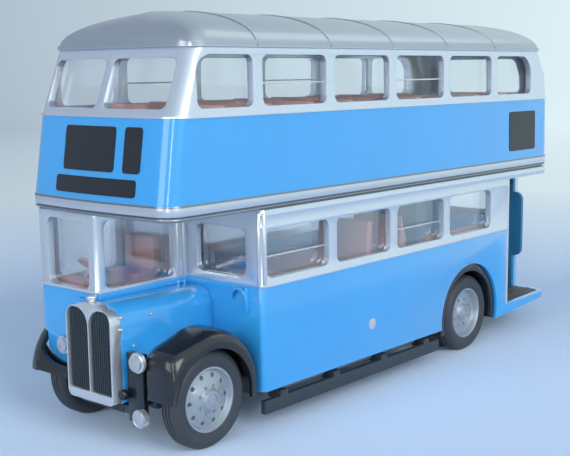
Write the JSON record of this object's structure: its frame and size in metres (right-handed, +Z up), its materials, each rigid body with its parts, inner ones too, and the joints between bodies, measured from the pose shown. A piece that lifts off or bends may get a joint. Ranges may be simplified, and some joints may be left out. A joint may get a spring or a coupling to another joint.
{
  "type": "die-cast scale model of a double decker bus",
  "caption": "Small die-cast display model of a half-cab double decker bus with an open rear platform, clear glazing, moulded seats and wheels that roll on through axles.",
  "frame": {"origin": "on the ground under the middle of the model's bounding box", "axes": "+X forward to the radiator, +Y to the nearside (left), +Z up"},
  "size_m": [0.1041, 0.0302, 0.0597],
  "materials": {
    "body_blue": "gloss paint",
    "body_silver": "satin silver paint",
    "bright_silver": "bright plated",
    "black_plastic": "semi-gloss moulded",
    "mesh_black": "matt",
    "sign_black": "gloss print",
    "clear_glazing": "clear moulded",
    "seat_terracotta": "satin moulded",
    "stair_blue": "satin moulded",
    "floor_grey": "matt",
    "steel": "drawn rod",
    "tyre_black": "satin"
  },
  "bodies": {
    "bus": {"roof": "body_silver", "upper_window_band": "body_silver", "upper_panels": "body_blue", "deck_band": "body_silver", "lower_window_band": "body_silver", "lower_panels": "body_blue", "bonnet": "body_blue", "radiator_shell": "bright_silver", "radiator_mesh": "mesh_black", "radiator_cap": "bright_silver", "headlamps": "bright_silver", "lamp_bracket": "black_plastic", "fog_lamp": "bright_silver", "wing_nearside": "black_plastic", "wing_offside": "black_plastic", "upper_glazing": "clear_glazing", "lower_glazing": "clear_glazing", "cab_glazing": "clear_glazing", "upper_seats": "seat_terracotta", "lower_seats": "seat_terracotta", "cab_seat": "seat_terracotta", "steering_wheel": "black_plastic", "staircase": "stair_blue", "platform_floor": "floor_grey", "platform_pole": "bright_silver", "fuel_cap": "bright_silver", "front_signs": "sign_black", "side_sign": "sign_black", "base_plate": "black_plastic", "base_screws": "steel", "lifeguard_rails": "black_plastic", "lifeguard_slats": "bright_silver"},
    "front_axle_set": {"front_axle": "steel", "front_discs": "bright_silver", "front_tyres": "tyre_black"},
    "rear_axle_set": {"rear_axle": "steel", "rear_discs": "bright_silver", "rear_tyres": "tyre_black"}
  },
  "joints": [
    {"name": "front_axle_roll", "type": "hinge", "parent": "bus", "child": "front_axle_set", "pos_m": [0.0423, 0, 0.0069], "axis": [0, 1, 0], "continuous": true},
    {"name": "rear_axle_roll", "type": "hinge", "parent": "bus", "child": "rear_axle_set", "pos_m": [-0.0232, 0, 0.0069], "axis": [0, 1, 0], "continuous": true}
  ]
}
